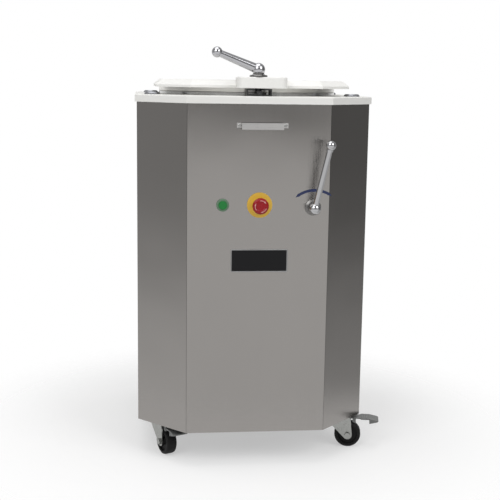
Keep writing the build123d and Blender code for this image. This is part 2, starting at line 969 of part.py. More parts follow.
nut_rear = inside_y + button_nut_depth
start_front = front_y - start_bezel_depth
start_bore = start_cap_radius - start_travel + button_clearance
with BuildPart() as start_button_body:
    start_seat = nut_rear + start_travel + button_end_room
    turn_level(
        [
            (start_cap_radius + button_clearance, start_front),
            (start_bezel_radius - start_bezel_bevel, start_front),
            (start_bezel_radius, start_front + start_bezel_bevel),
            (start_bezel_radius, front_y),
            (button_neck_radius, front_y),
            (button_neck_radius, inside_y),
            (button_nut_radius, inside_y),
            (button_nut_radius, nut_rear),
            (button_neck_radius, nut_rear),
            (button_neck_radius, start_seat + button_end_wall),
            (0, start_seat + button_end_wall),
            (0, start_seat),
            (start_bore, start_seat),
            (start_bore, front_y),
            (start_cap_radius + button_clearance, front_y),
        ],
        start_x,
        button_z,
    )
    contact_box(start_x, start_seat + button_end_wall)
save(start_button_body, "start_button_body")

with BuildPart() as start_button_cap:
    cap_face = start_front - start_cap_proud
    stem = start_cap_radius - start_travel
    turn_level(
        [
            (0, cap_face),
            (start_cap_radius - edge_break, cap_face),
            (start_cap_radius, cap_face + edge_break),
            (start_cap_radius, front_y - start_travel - button_clearance),
            (stem, front_y - start_travel - button_clearance),
            (stem, start_seat - start_travel - button_clearance),
            (0, start_seat - start_travel - button_clearance),
        ],
        start_x,
        button_z,
    )
save(start_button_cap, "start_button_cap")

# Emergency stop

collar_front = front_y - estop_collar_depth
estop_seat = nut_rear + estop_travel + button_end_room
with BuildPart() as estop_collar:
    stem_bore = estop_stem_radius + running_clearance
    turn_level(
        [
            (stem_bore, collar_front),
            (estop_collar_radius - estop_collar_bevel, collar_front),
            (estop_collar_radius, collar_front + estop_collar_bevel),
            (estop_collar_radius, front_y - estop_plate_depth),
            (estop_plate_radius, front_y - estop_plate_depth),
            (estop_plate_radius, front_y),
            (button_neck_radius, front_y),
            (button_neck_radius, inside_y),
            (button_nut_radius, inside_y),
            (button_nut_radius, nut_rear),
            (button_neck_radius, nut_rear),
            (button_neck_radius, estop_seat + button_end_wall),
            (0, estop_seat + button_end_wall),
            (0, estop_seat),
            (stem_bore, estop_seat),
        ],
        estop_x,
        button_z,
    )
    contact_box(estop_x, estop_seat + button_end_wall)
save(estop_collar, "estop_collar")

head_rear = collar_front - estop_travel - button_clearance
head_front = head_rear - estop_head_depth
with BuildPart() as estop_stem:
    stem_end = estop_seat - estop_travel - button_clearance
    stem_front = head_rear - estop_head_depth / 2
    turn_level(
        [
            (0, stem_front),
            (estop_stem_radius, stem_front),
            (estop_stem_radius, stem_end),
            (0, stem_end),
        ],
        estop_x,
        button_z,
    )
save(estop_stem, "estop_stem")

with BuildPart() as estop_head:
    socket = estop_stem_radius + running_clearance
    socket_end = head_rear - estop_head_depth / 2 - button_clearance
    turn_level(
        [
            *[(share * estop_head_radius, head_front + depth) for share, depth in estop_dome],
            (estop_head_rear_radius, head_rear),
            (socket, head_rear),
            (socket, socket_end),
            (0, socket_end),
        ],
        estop_x,
        button_z,
    )
save(estop_head, "estop_head")

# Hydraulic valve behind the panel and its lever in front

valve_width, valve_depth, valve_tall = valve_body
with BuildPart() as control_valve:
    with Locations((valve_x, inside_y + panel_gap + valve_depth / 2, valve_z)):
        Box(valve_width, valve_depth, valve_tall)
    chamfer(control_valve.edges().filter_by(Axis.Y), valve_bevel)
    with BuildSketch(Plane.XZ.offset(-inside_y)):
        with Locations((valve_x, valve_z)):
            Circle(valve_shaft_radius + running_clearance)
    extrude(amount=-(valve_shaft_depth + passage_gap), mode=Mode.SUBTRACT)
save(control_valve, "control_valve")

escutcheon_front = front_y - escutcheon_depth
with BuildPart() as valve_escutcheon:
    shaft_bore = valve_shaft_radius + running_clearance
    bevel_width, bevel_depth = escutcheon_bevel
    turn_level(
        [
            (shaft_bore, escutcheon_front),
            (escutcheon_radius - bevel_width, escutcheon_front),
            (escutcheon_radius, escutcheon_front + bevel_depth),
            (escutcheon_radius, front_y),
            (shaft_bore, front_y),
        ],
        valve_x,
        valve_z,
    )
save(valve_escutcheon, "valve_escutcheon")

hub_y = front_y - valve_hub_stand
hub_rear = escutcheon_front - seat_gap
valve_tilt = radians(valve_lever_tilt)
valve_lean = radians(valve_lever_lean)
valve_hub = Vector(valve_x, hub_y, valve_z)
valve_direction = Vector(
    sin(valve_tilt) * cos(valve_lean), -sin(valve_lean), cos(valve_tilt) * cos(valve_lean)
)
valve_side = Vector(cos(valve_tilt), 0, -sin(valve_tilt))
with BuildPart() as valve_lever:
    with Locations(valve_hub):
        Sphere(valve_hub_radius)
    turn_level(
        [
            (0, hub_y),
            (valve_neck_radius, hub_y),
            (valve_neck_radius, hub_rear),
            (0, hub_rear),
        ],
        valve_x,
        valve_z,
    )
    ball_rod(
        valve_hub,
        valve_direction,
        valve_side,
        valve_lever_length,
        valve_rod_root,
        valve_rod_tip,
        valve_knob_radius,
        valve_knob_collar,
    )
    with BuildSketch(Plane.XZ.offset(-hub_rear)):
        with Locations((valve_x, valve_z)):
            Circle(valve_shaft_radius + fixed_fit)
    extrude(amount=hub_rear - hub_y, mode=Mode.SUBTRACT)
save(valve_lever, "valve_lever")

with BuildPart() as valve_shaft:
    shaft_front = hub_y + seat_gap
    shaft_rear = inside_y + valve_shaft_depth
    turn_level(
        [
            (0, shaft_front),
            (valve_shaft_radius, shaft_front),
            (valve_shaft_radius, shaft_rear),
            (0, shaft_rear),
        ],
        valve_x,
        valve_z,
    )
save(valve_shaft, "valve_shaft")

# Power pack: tank with the pump hung under its cover and the motor on top

tank_width, tank_depth, tank_height = tank_size
tank_x = -side_x + tank_side_gap + tank_width / 2
tank_y = rear_y - tank_rear_gap - tank_depth / 2
cover_bottom = floor_z + tank_height
cover_top = cover_bottom + tank_cover
with BuildPart() as oil_tank:
    with Locations((tank_x, tank_y, floor_z + tank_height / 2)):
        Box(tank_width, tank_depth, tank_height)
    fillet(oil_tank.edges().filter_by(Axis.Z), tank_corner)
    offset(amount=-tank_wall, openings=oil_tank.faces().sort_by(Axis.Z)[-1])
save(oil_tank, "oil_tank")

motor_x = tank_x - tank_width / 2 + motor_foot_gap
motor_y = rear_y - motor_rear_gap
pressure_x = tank_x + pressure_port[0]
pressure_y = tank_y + pressure_port[1]
return_x = tank_x + return_port[0]
return_y = tank_y + return_port[1]
with BuildPart() as oil_tank_cover:
    with BuildSketch(Plane.XY.offset(cover_bottom)):
        with Locations((tank_x, tank_y)):
            cover = Rectangle(tank_width + 2 * tank_cover_lip, tank_depth + 2 * tank_cover_lip)
        fillet(cover.vertices(), tank_corner + tank_cover_lip)
    extrude(amount=tank_cover)
    with BuildSketch(Plane.XY.offset(cover_top)):
        with Locations((pressure_x, pressure_y), (return_x, return_y)):
            Circle(port_radius)
    extrude(amount=port_reach)
save(oil_tank_cover, "oil_tank_cover")

with BuildPart() as oil_filler_cap:
    turn_upright(
        [
            (0, cover_top),
            (filler_neck_radius, cover_top),
            (filler_neck_radius, cover_top + filler_height / 3),
            (filler_radius, cover_top + filler_height / 3),
            (filler_radius, cover_top + filler_height - filler_bevel),
            (filler_radius - filler_bevel, cover_top + filler_height),
            (0, cover_top + filler_height),
        ],
        tank_x + filler_place[0],
        tank_y + filler_place[1],
    )
save(oil_filler_cap, "oil_filler_cap")

flange_radius, flange_height = motor_flange
motor_top = cover_top + motor_height
with BuildPart() as motor:
    fin_depth, fin_width = motor_fin
    with BuildSketch(Plane.XY.offset(cover_top)):
        with Locations((motor_x, motor_y)):
            Circle(flange_radius - flange_height)
    extrude(amount=flange_height)
    with BuildSketch(Plane.XY.offset(cover_top + flange_height)):
        with Locations((motor_x, motor_y)):
            Circle(motor_radius - fin_depth)
            with PolarLocations(motor_radius / 2, motor_fins):
                Rectangle(motor_radius / 2, fin_width, align=(Align.MIN, Align.CENTER))
    extrude(amount=motor_height - flange_height)
save(motor, "motor")

with BuildPart() as motor_fan_cowl:
    cowl_top = motor_top + motor_cowl_height
    cowl_inner = motor_radius - motor_cowl_wall
    turn_upright(
        [
            (cowl_inner, motor_top),
            (motor_radius, motor_top),
            (motor_radius, cowl_top - motor_cowl_bevel),
            (motor_radius - motor_cowl_bevel, cowl_top),
            (0, cowl_top),
            (0, cowl_top - motor_cowl_wall),
            (cowl_inner - motor_cowl_bevel, cowl_top - motor_cowl_wall),
            (cowl_inner, cowl_top - motor_cowl_bevel),
        ],
        motor_x,
        motor_y,
    )
    with BuildSketch(Plane.XY.offset(cowl_top - motor_cowl_wall)):
        with Locations((motor_x, motor_y)):
            with PolarLocations(motor_radius / 2, motor_cowl_slots):
                SlotOverall(motor_radius / 2, motor_cowl_slot)
    extrude(amount=motor_cowl_wall, mode=Mode.SUBTRACT)
save(motor_fan_cowl, "motor_fan_cowl")

with BuildPart() as gear_pump:
    pump_width, pump_depth, pump_height = pump_size
    with Locations((motor_x, motor_y, cover_bottom - pump_height / 2)):
        Box(pump_width, pump_depth, pump_height)
    fillet(gear_pump.edges().filter_by(Axis.Z), pump_corner)
save(gear_pump, "gear_pump")

# Bent pipes between pump, valve and cylinder

valve_bottom = valve_z - valve_tall / 2
left_port_x = valve_x - valve_port_spacing / 2
right_port_x = valve_x + valve_port_spacing / 2
front_row, rear_row = [inside_y + row for row in valve_port_rows]
port_top = cover_top + port_reach
pressure_level = port_top + pressure_rise
return_level = port_top + return_rise
pipe_routes = [
    [
        (pressure_x, pressure_y, port_top),
        (pressure_x, pressure_y, pressure_level),
        (pressure_x, front_row, pressure_level),
        (left_port_x, front_row, pressure_level),
        (left_port_x, front_row, valve_bottom),
    ],
    [
        (return_x, return_y, port_top),
        (return_x, return_y, return_level),
        (return_x, rear_row, return_level),
        (left_port_x, rear_row, return_level),
        (left_port_x, rear_row, valve_bottom),
    ],
    [
        (right_port_x, front_row, valve_bottom),
        (right_port_x, front_row, knife_port_z),
        (0, front_row, knife_port_z),
        (0, -port_face, knife_port_z),
    ],
    [
        (right_port_x, rear_row, valve_bottom),
        (right_port_x, rear_row, press_port_z),
        (right_port_x, 0, press_port_z),
        (port_face, 0, press_port_z),
    ],
]
with BuildPart() as hydraulic_pipes:
    for route in pipe_routes:
        with BuildLine() as pipe_line:
            FilletPolyline(*route, radius=pipe_bend)
        with BuildSketch(Plane(origin=route[0], z_dir=pipe_line.line @ 0 - Vector(*route[1]))):
            Circle(pipe_radius)
        sweep(path=pipe_line.line)
save(hydraulic_pipes, "hydraulic_pipes")

# Electrics at the rear

with BuildPart() as electrical_box:
    box_width, box_depth, box_height = electrical_size
    box_rear = rear_y - sheet - panel_gap
    with Locations((electrical_x, box_rear - box_depth / 2, electrical_z)):
        Box(box_width, box_depth, box_height)
    offset(amount=-electrical_wall, openings=electrical_box.faces().sort_by(Axis.Y)[0])
    with Locations((electrical_x, box_rear - box_depth - electrical_lid / 2, electrical_z)):
        Box(box_width, electrical_lid, box_height)
save(electrical_box, "electrical_box")

with BuildPart() as cable_gland:
    hex_end = rear_y + gland_hex_depth
    dome_end = hex_end + gland_dome_depth
    inside_rear = rear_y - sheet
    turn_level(
        [
            (gland_bore, inside_rear - gland_tail),
            (gland_neck_radius, inside_rear - gland_tail),
            (gland_neck_radius, hex_end),
            (gland_dome_radii[0], hex_end),
            (gland_dome_radii[1], dome_end),
            (gland_bore, dome_end),
        ],
        gland_x,
        gland_z,
    )
    with BuildSketch(Plane.XZ.offset(-rear_y), Plane.XZ.offset(-inside_rear + gland_hex_depth)):
        with Locations((gland_x, gland_z)):
            RegularPolygon(gland_hex_radius, 6)
            Circle(gland_bore, mode=Mode.SUBTRACT)
    extrude(amount=-gland_hex_depth)
save(cable_gland, "cable_gland")

# Casters

caster_spots = {
    "front_left": (-side_x + caster_side_inset, front_y + caster_front_inset),
    "front_right": (side_x - caster_side_inset, front_y + caster_front_inset),
    "rear_left": (-side_x + caster_side_inset, rear_y - caster_rear_inset),
    "rear_right": (side_x - caster_side_inset, rear_y - caster_rear_inset),
}


def turned_plane(corner, turn):
    """The floor plane under a caster's swivel, turned about it."""
    x, y = caster_spots[corner]
    return Plane(origin=(x, y, 0), x_dir=(cos(radians(turn)), sin(radians(turn)), 0), z_dir=(0, 0, 1))


def side_plane(base, reach):
    """An upright plane along the caster's heading, reach from its middle, with local Y upwards."""
    return Plane(origin=base.origin + base.y_dir * reach, x_dir=base.x_dir, z_dir=-base.y_dir)


plate_length, plate_width, plate_sheet = caster_plate
pin_head_radius, pin_head_height = kingpin_head
with BuildPart() as caster_plates:
    for corner, spot in caster_spots.items():
        plate_base = turned_plane(corner, caster_plate_turns[corner])
        with BuildSketch(plate_base.offset(skirt_height - plate_sheet)):
            top_plate = Rectangle(plate_length, plate_width)
            fillet(top_plate.vertices(), caster_plate_corner)
        extrude(amount=plate_sheet)
        pin_foot = crown_z - swivel_gap - pin_head_height
        turn_upright(
            [
                (0, pin_foot),
                (pin_head_radius, pin_foot),
                (pin_head_radius, crown_z - swivel_gap),
                (kingpin_radius, crown_z - swivel_gap),
                (kingpin_radius, race_split),
                (caster_race_radius - caster_race_bevel, race_split),
                (caster_race_radius, race_split + caster_race_bevel),
                (caster_race_radius, skirt_height - plate_sheet),
                (0, skirt_height - plate_sheet),
            ],
            *spot,
        )
save(caster_plates, "caster_plates")


def caster_fork(corner, braked):
    """A fork with its crown and lower race, and the axle bolted through its eyes."""
    base = turned_plane(corner, caster_headings[corner])
    head_radius, head_height = axle_head
    with BuildPart() as fork:
        with BuildSketch(base.offset(crown_z)):
            crown = Rectangle(caster_crown_length, 2 * fork_outer)
            fillet(crown.vertices(), caster_crown_corner)
        extrude(amount=caster_crown)
        with BuildSketch(base.offset(crown_z + caster_crown)):
            Circle(caster_race_radius - caster_race_bevel)
        extrude(amount=race_split - swivel_gap - crown_z - caster_crown)
        with BuildSketch(base.offset(crown_z)):
            Circle(kingpin_radius + running_clearance)
        extrude(amount=race_split - crown_z, mode=Mode.SUBTRACT)
        for outer_face in (fork_outer, -fork_inner):
            with BuildSketch(side_plane(base, outer_face)):
                with Locations((caster_trail, wheel_radius)):
                    Circle(fork_eye_radius)
                with Locations((0, crown_z + caster_crown / 2)):
                    Rectangle(caster_crown_length - 2 * caster_crown_corner, caster_crown)
                if braked:
                    with Locations((pedal_pivot, pedal_z)):
                        Circle(pedal_eye_radius)
                make_hull()
                with Locations((caster_trail, wheel_radius)):
                    Circle(axle_radius + fixed_fit, mode=Mode.SUBTRACT)
            extrude(amount=fork_wall)
        with BuildSketch(side_plane(base, fork_outer + seat_gap)):
            with Locations((caster_trail, wheel_radius)):
                Circle(axle_radius)
        extrude(amount=2 * (fork_outer + seat_gap))
        for head_face in (fork_outer + seat_gap + head_height, -fork_outer - seat_gap):
            with BuildSketch(side_plane(base, head_face)):
                with Locations((caster_trail, wheel_radius)):
                    RegularPolygon(head_radius, 6)
            extrude(amount=head_height)
        if braked:
            with BuildSketch(side_plane(base, fork_outer)):
                with Locations((pedal_pivot, pedal_z)):
                    Circle(pedal_pin_radius)
            extrude(amount=2 * fork_outer)
    return fork


def caster_wheel(corner):
    """A moulded wheel with bevelled tread edges, dished sides and a bore for the axle."""
    base = turned_plane(corner, caster_headings[corner])
    centre = base.origin + base.x_dir * caster_trail + base.z_dir * wheel_radius
    recess_inner, recess_outer, recess_depth = wheel_recess
    half_width = wheel_width / 2
    hub_face = fork_inner - seat_gap
    dish = half_width - recess_depth
    half_profile = [
        (axle_radius + axle_clearance, hub_face),
        (recess_inner - wheel_hub_taper, hub_face),
        (recess_inner, dish),
        (recess_outer, dish),
        (recess_outer, half_width),
        (wheel_radius - wheel_edge, half_width),
        (wheel_radius - wheel_edge / 4, half_width - wheel_edge / 2),
        (wheel_radius, half_width - 1.5 * wheel_edge),
    ]
    other_half = [(radius, -width) for radius, width in reversed(half_profile)]
    with BuildPart() as wheel:
        with BuildSketch(Plane(origin=centre, x_dir=base.z_dir, z_dir=base.x_dir)):
            with BuildLine():
                Polyline(*half_profile, *other_half, close=True)
            make_face()
        revolve(axis=Axis(centre, base.y_dir))
    return wheel


def brake_pedal(corner):
    """A foot lever with a wedge toe, and a shoe that comes down on the tread when it is pressed."""
    base = turned_plane(corner, caster_headings[corner])
    half_pedal = pedal_width / 2 - fork_side_gap
    shoe_start, shoe_end, shoe_drop = pedal_shoe
    arm_top = pedal_z + pedal_eye_radius
    arm_bottom = arm_top - pedal_sheet
    tip = pedal_pivot + pedal_reach
    with BuildPart() as pedal:
        with BuildSketch(side_plane(base, half_pedal)):
            with BuildLine():
                Polyline(
                    (pedal_pivot, arm_bottom),
                    (pedal_pivot + shoe_start, arm_bottom),
                    (pedal_pivot + shoe_start, pedal_z - shoe_drop),
                    (pedal_pivot + shoe_end, pedal_z - shoe_drop - pedal_sheet / 2),
                    (pedal_pivot + shoe_end, arm_bottom),
                    (tip - pedal_toe, arm_bottom),
                    (tip - pedal_toe, pedal_z - pedal_toe_drop),
                    (tip, pedal_z - pedal_sheet),
                    (tip, pedal_z),
                    (tip - pedal_toe, arm_top),
                    (pedal_pivot, arm_top),
                    close=True,
                )
            make_face()
            with Locations((pedal_pivot, pedal_z)):
                Circle(pedal_eye_radius)
                Circle(pedal_pin_radius + running_clearance, mode=Mode.SUBTRACT)
        extrude(amount=2 * half_pedal)
        with BuildSketch(side_plane(base, pedal_pad_width / 2)):
            with BuildLine():
                Polyline(
                    (pedal_pivot + pedal_pad_start, arm_bottom),
                    (tip - pedal_toe, arm_bottom),
                    (tip - pedal_toe, pedal_z - pedal_toe_drop),
                    (tip, pedal_z - pedal_sheet),
                    (tip, pedal_z),
                    (tip - pedal_toe, arm_top),
                    (pedal_pivot + pedal_pad_start, arm_top),
                    close=True,
                )
            make_face()
        extrude(amount=pedal_pad_width)
        upright_edges = pedal.edges().filter_by(Axis.Z)
        fillet(
            [
                edge
                for edge in upright_edges
                if abs(base.to_local_coords(edge.center()).Y) > half_pedal + fork_side_gap
                and edge.length < pedal_sheet + edge_break
            ],
            pedal_pad_corner,
        )
    return pedal


for corner in caster_spots:
    save(caster_fork(corner, corner in braked_corners), f"caster_fork_{corner}")
    save(caster_wheel(corner), f"caster_wheel_{corner}")

for corner in braked_corners:
    save(brake_pedal(corner), f"brake_pedal_{corner}")
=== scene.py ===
"""Looks for a hydraulic dough divider on casters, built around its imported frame.

Frame: metres, origin on the floor under the middle of the cabinet, +X to the operator's right,
+Y to the rear, +Z up. The operator stands on the -Y side.
"""

import json
from math import cos, pi, radians, sin

import bmesh
import bpy
from mathutils import Matrix, Vector


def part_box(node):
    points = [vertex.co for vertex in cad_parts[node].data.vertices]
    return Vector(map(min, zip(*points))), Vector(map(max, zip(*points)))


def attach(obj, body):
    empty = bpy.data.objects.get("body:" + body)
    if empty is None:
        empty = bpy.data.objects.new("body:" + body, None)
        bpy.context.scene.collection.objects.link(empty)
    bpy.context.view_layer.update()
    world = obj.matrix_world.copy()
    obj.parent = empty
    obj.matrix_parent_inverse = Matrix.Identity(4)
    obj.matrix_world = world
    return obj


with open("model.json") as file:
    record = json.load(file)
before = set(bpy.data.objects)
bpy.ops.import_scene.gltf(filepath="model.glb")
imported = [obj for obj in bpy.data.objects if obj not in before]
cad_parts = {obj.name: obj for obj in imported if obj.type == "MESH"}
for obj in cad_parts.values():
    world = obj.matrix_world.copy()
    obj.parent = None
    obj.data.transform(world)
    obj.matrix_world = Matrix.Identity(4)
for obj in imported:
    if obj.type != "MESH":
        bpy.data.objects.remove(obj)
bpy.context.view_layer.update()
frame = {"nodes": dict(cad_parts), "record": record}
nodes = frame["nodes"]
MM = 0.001


# Camera: the photograph's viewing angle, level with the table and a little to the left

IMAGE_SIDE = 500
FOCAL_PIXELS = 997.7
SENSOR_WIDTH = 36
CAMERA_PLACE = Vector((-0.2870, -2.7195, 0.9734))
CAMERA_YAW = radians(6.35)
CAMERA_PITCH = radians(9.69)
CAMERA_ROLL = radians(0.82)


def make_camera():
    level_forward = Vector((sin(CAMERA_YAW), cos(CAMERA_YAW), 0))
    level_right = Vector((cos(CAMERA_YAW), -sin(CAMERA_YAW), 0))
    upright = Vector((0, 0, 1))
    forward = level_forward * cos(CAMERA_PITCH) - upright * sin(CAMERA_PITCH)
    up = upright * cos(CAMERA_PITCH) + level_forward * sin(CAMERA_PITCH)
    right = level_right * cos(CAMERA_ROLL) + up * sin(CAMERA_ROLL)
    up = up * cos(CAMERA_ROLL) - level_right * sin(CAMERA_ROLL)
    data = bpy.data.cameras.new("photo_camera")
    data.sensor_width = SENSOR_WIDTH
    data.lens = FOCAL_PIXELS * SENSOR_WIDTH / IMAGE_SIDE
    camera = bpy.data.objects.new("photo_camera", data)
    axes = Matrix((right, up, -forward)).transposed().to_4x4()
    camera.matrix_world = Matrix.Translation(CAMERA_PLACE) @ axes
    bpy.context.scene.collection.objects.link(camera)
    bpy.context.scene.camera = camera


make_camera()


# Shader nodes


def link(tree, source, target):
    tree.links.new(source, target)


def put(tree, value, socket):
    """Links a socket to another one, or gives it a plain value."""
    if isinstance(value, bpy.types.NodeSocket):
        link(tree, value, socket)
    else:
        socket.default_value = value


def arithmetic(tree, operation, first, second):
    node = tree.nodes.new("ShaderNodeMath")
    node.operation = operation
    for socket, value in zip(node.inputs, (first, second)):
        put(tree, value, socket)
    return node.outputs["Value"]


def line(tree, value, slope, start):
    """value times slope, plus start."""
    return arithmetic(tree, "ADD", arithmetic(tree, "MULTIPLY", value, slope), start)


def ramp(tree, source, start, end):
    """0 before start, 1 after end, smooth between them."""
    node = tree.nodes.new("ShaderNodeMapRange")
    node.interpolation_type = "SMOOTHSTEP"
    node.inputs["From Min"].default_value = start
    node.inputs["From Max"].default_value = end
    link(tree, source, node.inputs["Value"])
    return node.outputs["Result"]


def spread(tree, source, low, high, start=0.3, end=0.7):
    """Stretches a pattern's middle range to low..high."""
    node = tree.nodes.new("ShaderNodeMapRange")
    node.inputs["From Min"].default_value = start
    node.inputs["From Max"].default_value = end
    node.inputs["To Min"].default_value = low
    node.inputs["To Max"].default_value = high
    link(tree, source, node.inputs["Value"])
    return node.outputs["Result"]


def mix_colours(tree, factor, first, second):
    node = tree.nodes.new("ShaderNodeMix")
    node.data_type = "RGBA"
    sockets = [socket for socket in node.inputs if socket.type == "RGBA"]
    for socket, colour in zip(sockets, (first, second)):
        put(tree, (*colour, 1) if isinstance(colour, tuple) else colour, socket)
    link(tree, factor, node.inputs["Factor"])
    return next(socket for socket in node.outputs if socket.type == "RGBA")


def mix_shaders(tree, factor, first, second):
    node = tree.nodes.new("ShaderNodeMixShader")
    link(tree, factor, node.inputs["Fac"])
    link(tree, first, node.inputs[1])
    link(tree, second, node.inputs[2])
    return node.outputs["Shader"]


def only_seen(tree):
    """1 for what the camera, metal or glass shows, and 0 for the light that falls on surfaces."""
    path = tree.nodes.new("ShaderNodeLightPath").outputs
    seen = arithmetic(tree, "MAXIMUM", path["Is Camera Ray"], path["Is Glossy Ray"])
    return arithmetic(tree, "MAXIMUM", seen, path["Is Transmission Ray"])


def length(tree, vector):
    node = tree.nodes.new("ShaderNodeVectorMath")
    node.operation = "LENGTH"
    link(tree, vector, node.inputs[0])
    return node.outputs["Value"]


def scaled_place(tree, scale):
    """The object's own coordinates, times scale along X, Y and Z."""
    place = tree.nodes.new("ShaderNodeTexCoord")
    mapping = tree.nodes.new("ShaderNodeMapping")
    mapping.inputs["Scale"].default_value = scale
    link(tree, place.outputs["Object"], mapping.inputs["Vector"])
    return mapping.outputs["Vector"]


def noise(tree, cells, detail, roughness=0.55, distortion=0.0):
    """A noise pattern with as many cells per metre, or its own number along X, Y and Z."""
    texture = tree.nodes.new("ShaderNodeTexNoise")
    texture.inputs["Scale"].default_value = 1.0
    texture.inputs["Detail"].default_value = detail
    texture.inputs["Roughness"].default_value = roughness
    texture.inputs["Distortion"].default_value = distortion
    scale = cells if isinstance(cells, tuple) else (cells,) * 3
    link(tree, scaled_place(tree, scale), texture.inputs["Vector"])
    return texture.outputs["Fac"]


RING_DETAIL = 3.0
RING_FLATTENING = 0.3


def ring_noise(tree, cells):
    """Rings round the object's upright axis, as a lathe leaves them, in cells per metre."""
    texture = tree.nodes.new("ShaderNodeTexNoise")
    texture.noise_dimensions = "1D"
    texture.inputs["Scale"].default_value = 1.0
    texture.inputs["Detail"].default_value = RING_DETAIL
    flat_place = scaled_place(tree, (cells, cells, RING_FLATTENING * cells))
    link(tree, length(tree, flat_place), texture.inputs["W"])
    return texture.outputs["Fac"]


# How far a rounded normal agrees with the true one, on the edge itself and on the flats
EDGE_AGREEMENT = 0.72
FLAT_AGREEMENT = 0.985


def edge_mask(tree, reach):
    """How near the surface is to an outer edge: 0 on the flats, 1 on the edge itself."""
    bevel = tree.nodes.new("ShaderNodeBevel")
    bevel.inputs["Radius"].default_value = reach
    place = tree.nodes.new("ShaderNodeNewGeometry")
    agreement = tree.nodes.new("ShaderNodeVectorMath")
    agreement.operation = "DOT_PRODUCT"
    link(tree, bevel.outputs["Normal"], agreement.inputs[0])
    link(tree, place.outputs["Normal"], agreement.inputs[1])
    return spread(tree, agreement.outputs["Value"], 1, 0, EDGE_AGREEMENT, FLAT_AGREEMENT)


def relief(tree, height, strength, depth, under=None):
    """Bumps the surface, on top of the relief given by under."""
    node = tree.nodes.new("ShaderNodeBump")
    node.inputs["Strength"].default_value = strength
    node.inputs["Distance"].default_value = depth
    link(tree, height, node.inputs["Height"])
    if under is not None:
        link(tree, under, node.inputs["Normal"])
    return node.outputs["Normal"]


def shade(colour, amount):
    return tuple(channel * amount for channel in colour)


# Materials: each has its own grain, mottle and unevenness in the object's own coordinates

GRAIN_DETAIL = 2.0
MOTTLE = {"detail": 4.0, "distortion": 0.4}
PATCHES = {"detail": 6.0, "roughness": 0.7, "distortion": 1.2}
PATCHES_PER_MOTTLE = 2.3
PATCH_SPAN = (0.52, 0.72)
WAVE_DETAIL = 1.0
LEAST_WEAR_SHARE = 0.35


def finish(
    name,
    colour,
    roughness,
    metallic=0.0,
    grain=400,
    grain_bump=0.02,
    grain_depth=0.0004,
    mottle=8.0,
    tint=0.05,
    rough_spread=0.06,
    specular=0.5,
    wear=None,
    wave=None,
    smear=None,
    rings=False,
):
    """A surface with a fine grain in its relief and gloss and a slow mottle in its colour.

    grain and mottle are in cells per metre.
    wear is the colour that edges are rubbed to, how far in it reaches and how much of it shows; on
    the pedal it also paints a highlight on the bend of its pad.
    wave is the cells per metre and the depth of the sheet's slow unevenness.
    smear is a colour that lies over the surface in patches, and how much of it shows.
    rings turns the grain into lathe rings round the object's upright axis.
    """
    material = bpy.data.materials.new(name)
    material.use_nodes = True
    tree = material.node_tree
    shader = tree.nodes["Principled BSDF"]
    shader.inputs["Metallic"].default_value = metallic
    shader.inputs["Specular IOR Level"].default_value = specular
    fine = ring_noise(tree, grain) if rings else noise(tree, grain, GRAIN_DETAIL)
    slow = noise(tree, mottle, **MOTTLE)
    dark, light = shade(colour, 1 - tint), shade(colour, 1 + tint)
    tone = mix_colours(tree, spread(tree, slow, 0, 1), dark, light)
    tone = mix_colours(tree, spread(tree, fine, 0, 1), dark, tone)
    if smear:
        smear_colour, smear_amount = smear
        patches = noise(tree, PATCHES_PER_MOTTLE * mottle, **PATCHES)
        smeared = spread(tree, patches, 0, smear_amount, *PATCH_SPAN)
        tone = mix_colours(tree, smeared, tone, smear_colour)
    if wear:
        wear_colour, wear_reach, wear_amount = wear
        uneven = spread(tree, slow, LEAST_WEAR_SHARE * wear_amount, wear_amount)
        rubbed = arithmetic(tree, "MULTIPLY", edge_mask(tree, wear_reach), uneven)
        tone = mix_colours(tree, rubbed, tone, wear_colour)
    link(tree, tone, shader.inputs["Base Color"])
    both = arithmetic(tree, "MULTIPLY", arithmetic(tree, "ADD", fine, slow), 0.5)
    gloss = spread(tree, both, roughness - rough_spread, roughness + rough_spread)
    link(tree, gloss, shader.inputs["Roughness"])
    under = None
    if wave:
        wave_cells, wave_depth = wave
        under = relief(tree, noise(tree, wave_cells, WAVE_DETAIL), 1.0, wave_depth)
    link(tree, relief(tree, fine, grain_bump, grain_depth, under), shader.inputs["Normal"])
    return material


BRUSHED = (1900, 1900, 6)
DRAWN = (9, 1500, 1500)
TURNED = (60, 60, 2600)
TREAD = (500, 500, 900)
METAL_DEPTH = 0.0002
# Pale steel for the pedal's rubbed edges, which also paints the highlight on the bend of its pad
PEDAL_RUB_AND_HIGHLIGHT = (0.42, 0.42, 0.42)
FLOUR = (0.72, 0.71, 0.66)
DUST = (0.16, 0.155, 0.145)

